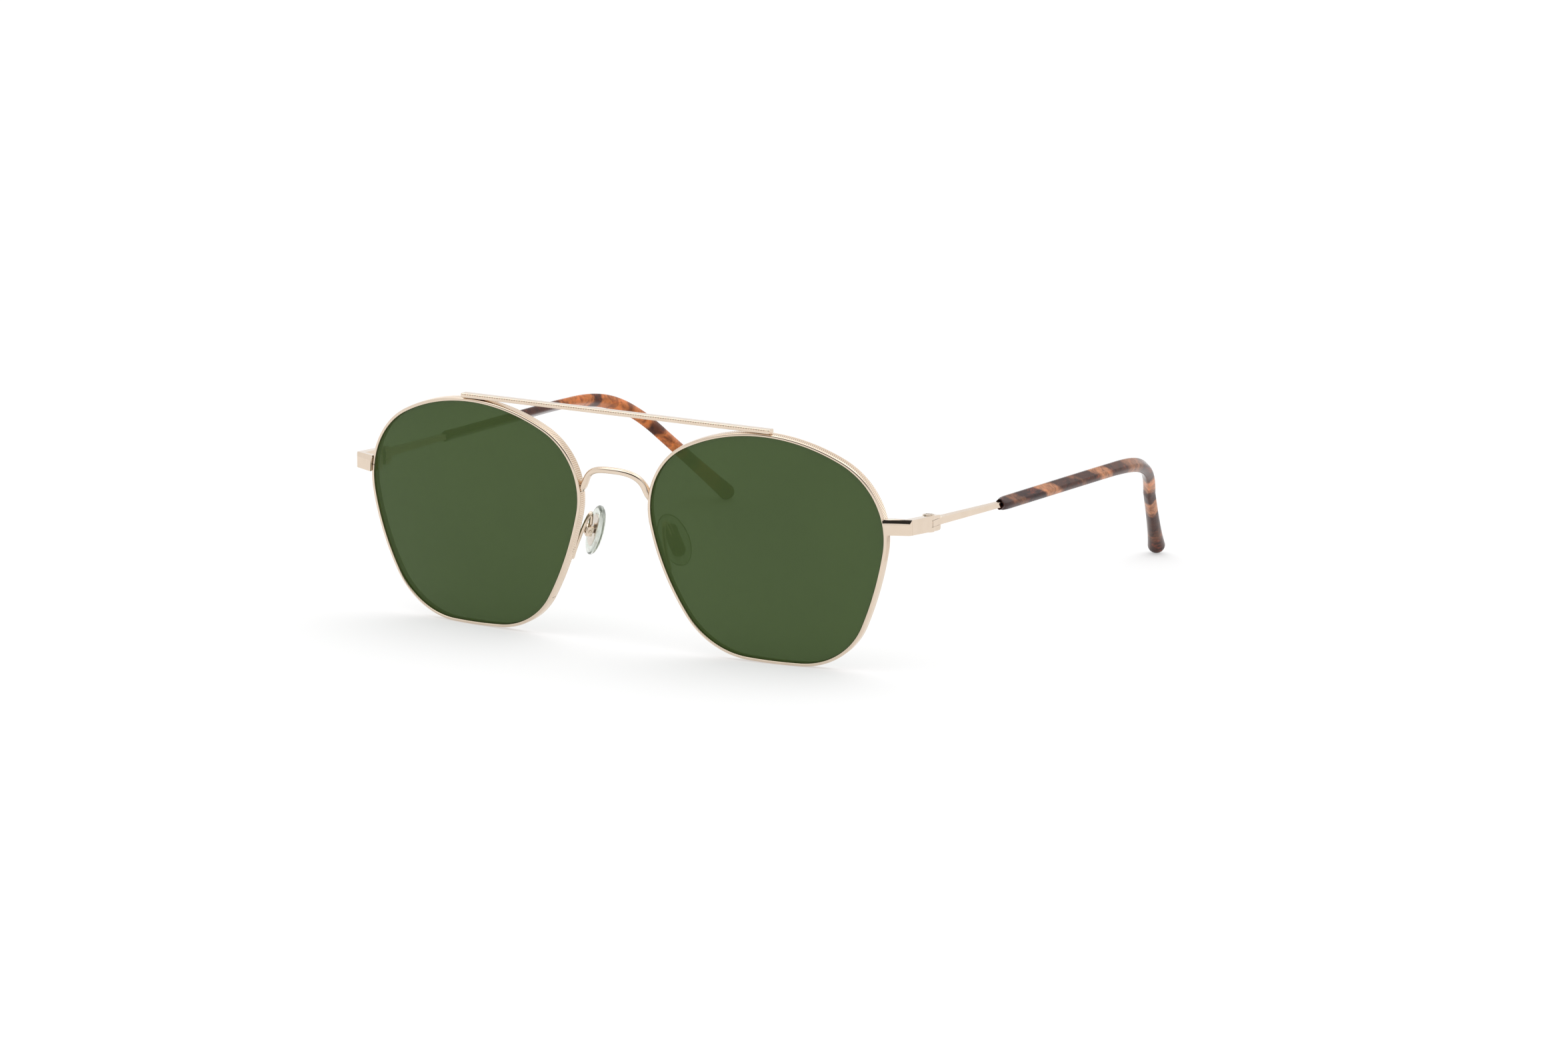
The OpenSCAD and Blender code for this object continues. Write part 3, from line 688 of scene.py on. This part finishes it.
def temple_tip(name, side):
    stations = [0, 0.15, 0.4, 0.7, 1.0, 1.5] + [FULL + k * 0.25 for k in range(24)]
    stations += [BEND_0 + k * 0.125 for k in range(8 * (BULB - BEND_0))]
    stations += [BULB + k / 12 * (LAST - BULB) for k in range(12)] + [LAST - 0.04]
    path = [tip_point(s) for s in stations]
    lengths = [0.0]
    for a, b in zip(path, path[1:]):
        lengths.append(lengths[-1] + (b - a).length)

    def outside(i):
        # The two edges of the upper outer flat are crisp up to the bend. The bulb is an oval
        w, h, lean = tip_size(stations[i])
        crisp = lerp(*CRISP_EDGE, smoothstep(BENT, WAIST, stations[i]))
        soft = lerp(*SOFT_EDGE, smoothstep(BENT, BULB - 3, stations[i]))
        crisp = max(crisp, soft * smoothstep(WAIST, BULB - 3, stations[i]))
        oval = smoothstep(WAIST + 3, BULB, stations[i])
        points = []
        for x, y in filed(w, h, lean, [soft, crisp, crisp] + [soft] * 5):
            d = math.hypot(x * w, y * h) or 1
            points.append((lerp(x, w / 2 * x * w / d, oval), lerp(y, h / 2 * y * h / d, oval)))
        return points
    bore_stations = [k * 0.5 for k in range(2 * BEND_1)]
    bore_path = [tip_point(s) for s in bore_stations]

    def bore(i):
        size = lerp(BORE_WIDE, CORE_WIDE, smoothstep(0.5, 3, bore_stations[i]))
        return filed(size, size, 0.0, 0.2)
    inner = sweep(bore_path, bore)
    rings = list(reversed(inner)) + sweep(path, outside)
    along = [[0.0] * len(ring) for ring in inner]
    for i, length in enumerate(lengths):
        half = max(tip_size(stations[i])[1] / 2, 0.2)
        slant = PATTERN_SLANT * (1 - smoothstep(BENT - 3, BENT + 3, stations[i]))
        along.append([length / lengths[-1] + slant * p[1] / half for p in outside(i)])
    obj = skin("tip_tortoise_" + name, rings, side, sharp_deg=40, along=along)
    finish_piece(obj, "temple_" + name, TORTOISE[side], "temple_tip_" + name)


# ---------------------------------------------------------------- shank milling

MILL_START, MILL_END = 19.6, 43.2
MILL_PITCH, MILL_CUT, MILL_RISE = 0.7, 0.1, 0.045
# The shank's top edge as (y, z), and the band's middle x and half width, at its two ends
SHANK_TOP = ((18.9, 32.37), (45.5, 30.98))
BAND_X, BAND_HALF = (66.85, 67.9), (0.56, 0.42)
# How far the band reaches into the shank
BAND_DEEP = 0.12


def shank_milling(name, side):
    """A band of fine cross cuts let into the top of the metal shank."""
    count = int((MILL_END - MILL_START) / MILL_PITCH) * 4
    rings = []
    for k in range(count + 1):
        y = lerp(MILL_START, MILL_END, k / count)
        t = (y - SHANK_TOP[0][0]) / (SHANK_TOP[1][0] - SHANK_TOP[0][0])
        top = lerp(SHANK_TOP[0][1], SHANK_TOP[1][1], t)
        x, half = lerp(*BAND_X, t), lerp(*BAND_HALF, t)
        cut = MILL_CUT * (0.0, 0.6, 1.0, 0.6)[k % 4]
        rise = MILL_RISE * min(smoothstep(0, 1.2, y - MILL_START),
                               smoothstep(0, 1.2, MILL_END - y))
        # Across the band: a share of the half width, a drop at the edges and a share of the cut
        crest = [(x + half * across, top - drop + rise - cut * depth) for across, drop, depth in (
            (1, 0.01, 1), (0.5, 0, 0.8), (0, 0, 0.6), (-0.5, 0, 0.8), (-1, 0.01, 1))]
        ring = [(x - half, top - BAND_DEEP), (x + half, top - BAND_DEEP)] + crest
        rings.append([Vector((px, y, pz)) for px, pz in ring])
    obj = skin("shank_milling_" + name, rings, side, sharp_deg=25)
    finish_piece(obj, "temple_" + name, GOLD)


# ---------------------------------------------------------------- kept CAD nodes

# The CAD nodes that stay: node, finish and width of its broken edges in millimetres
KEPT = (
    ("endpiece_left", GOLD, 0.10), ("endpiece_right", GOLD, 0.10),
    ("closing_blocks_upper", GOLD, 0.08), ("closing_blocks_lower", GOLD, 0.08),
    ("closing_screws", SCREW, 0.04), ("pad_box_left", GOLD, 0.05), ("pad_box_right", GOLD, 0.05),
    ("pad_screws", SCREW, 0.04), ("pad_core_left", PAD_METAL, 0.05),
    ("pad_core_right", PAD_METAL, 0.05), ("temple_left", GOLD, 0.09),
    ("temple_right", GOLD, 0.09), ("hinge_screws", SCREW, 0.06))


def dress_kept_node(node, material, edge):
    """A CAD node that stays gets its finish and lightly broken edges."""
    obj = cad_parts[node]
    obj.data.materials.clear()
    obj.data.materials.append(material)
    weld = obj.modifiers.new("weld", "WELD")
    weld.merge_threshold = 0.000002
    bevel = obj.modifiers.new("broken_edges", "BEVEL")
    bevel.width = edge * MM
    bevel.segments = 3
    bevel.limit_method = "ANGLE"
    bevel.angle_limit = math.radians(32)
    bevel.harden_normals = False
    obj.data.shade_smooth()
    smooth = obj.modifiers.new("weighted", "WEIGHTED_NORMAL")
    smooth.keep_sharp = True


# ---------------------------------------------------------------- floor, light and camera

# Half the floor's side and how far it lies below the part, in metres
FLOOR_HALF, FLOOR_DROP = 4.0, 0.00002
# The floor glows a little as well, so that only close contact leaves a shadow
FLOOR_GLOW = 0.48


def floor():
    bm = bmesh.new()
    bmesh.ops.create_grid(bm, x_segments=8, y_segments=8, size=FLOOR_HALF)
    mesh = bpy.data.meshes.new("floor")
    bm.to_mesh(mesh)
    bm.free()
    obj = bpy.data.objects.new("floor", mesh)
    bpy.context.scene.collection.objects.link(obj)
    obj.location.z = packed_box[0].z - FLOOR_DROP
    s = Shader("floor_paint")
    s.set(Base_Color=s.ramp(s.noise(3), [(0.3, (0.465,) * 3), (0.7, (0.475,) * 3)]),
          Roughness=0.9, Specular_IOR_Level=0.0, Emission_Strength=FLOOR_GLOW)
    s.bsdf.inputs["Emission Color"].default_value = (1, 1, 1, 1)
    mesh.materials.append(s.material)


# Sky brightness at sines of the elevation: white low down, with a brighter ring high up
SKY = ((0.0, 1.0), (0.64, 1.0), (0.82, 2.0), (0.92, 2.0), (0.97, 1.2), (1.0, 1.2))
# A wide dark card in the sky, in front and above: its middle and its half width and height
CARD_AZIMUTH, CARD_ELEVATION = math.radians(12), math.radians(35)
CARD_HALF = (math.sin(math.radians(52)), math.sin(math.radians(19)))
CARD_LEVEL = 0.06
# Where the card's soft edge starts and ends, as shares of its half size
CARD_EDGE = (0.7, 1.15)


def direction(azimuth, elevation):
    """The unit vector towards a camera or card at that azimuth and elevation."""
    return Vector((math.sin(azimuth) * math.cos(elevation),
                   -math.cos(azimuth) * math.cos(elevation), math.sin(elevation)))


def outside_card(sky, view):
    """Below 1 inside the card's ellipse and above 1 outside it and behind it."""
    facing = direction(CARD_AZIMUTH, CARD_ELEVATION)
    across = Vector((0, 0, 1)).cross(facing).normalized()

    def along(axis):
        return sky.node("ShaderNodeVectorMath", {0: view, 1: axis},
                        operation="DOT_PRODUCT").outputs["Value"]
    offset = sky.node("ShaderNodeCombineXYZ", {
        0: along(across / CARD_HALF[0]), 1: along(facing.cross(across) / CARD_HALF[1])})
    length = sky.node("ShaderNodeVectorMath", {0: offset.outputs[0]}, operation="LENGTH")
    return sky.math("ADD", length.outputs["Value"], sky.math("LESS_THAN", along(facing), 0.0))


def light():
    """A white studio sky with one soft-edged dark card in it."""
    world = bpy.data.worlds.new("studio")
    bpy.context.scene.world = world
    world.use_nodes = True
    sky = Nodes(world.node_tree)
    background = sky.tree.nodes["Background"]
    view = sky.node("ShaderNodeTexCoord").outputs["Generated"]
    height = sky.node("ShaderNodeSeparateXYZ", {0: view}).outputs["Z"]
    strongest = max(value for _, value in SKY)
    glow = sky.ramp(height, [(position, (value / strongest,) * 3) for position, value in SKY])
    strength = sky.spread(outside_card(sky, view), CARD_LEVEL, strongest, *CARD_EDGE)
    sky.tree.links.new(glow, background.inputs["Color"])
    sky.tree.links.new(strength, background.inputs["Strength"])


AZIMUTH, ELEVATION, ROLL = math.radians(29.563), math.radians(12.193), math.radians(0.3)
DISTANCE, LENS_MM, SENSOR_MM, TARGET = 2304.5, 252.98, 36, (29.447, 20.0, 26.707)


def camera():
    back = direction(AZIMUTH, ELEVATION)
    right = Vector((math.cos(AZIMUTH), math.sin(AZIMUTH), 0))
    up = back.cross(right)
    rolled_right = right * math.cos(ROLL) + up * math.sin(ROLL)
    rolled_up = up * math.cos(ROLL) - right * math.sin(ROLL)
    data = bpy.data.cameras.new("camera")
    data.lens, data.sensor_width = LENS_MM, SENSOR_MM
    data.clip_start, data.clip_end = 0.05, 20
    obj = bpy.data.objects.new("camera", data)
    bpy.context.scene.collection.objects.link(obj)
    turn = Matrix((rolled_right, rolled_up, back)).transposed().to_4x4()
    obj.matrix_world = Matrix.Translation(place(TARGET) + back * DISTANCE * MM) @ turn
    bpy.context.scene.camera = obj


camera()
light()
floor()
brow_bar()
bridge()
for side_name, side_sign in SIDES:
    lens(side_name, side_sign)
    rim(side_name, side_sign)
    pad_arm(side_name, side_sign)
    nose_pad(side_name, side_sign)
    temple_tip(side_name, side_sign)
    shank_milling(side_name, side_sign)
for kept in KEPT:
    dress_kept_node(*kept)
bpy.context.scene.view_settings.view_transform = "Standard"
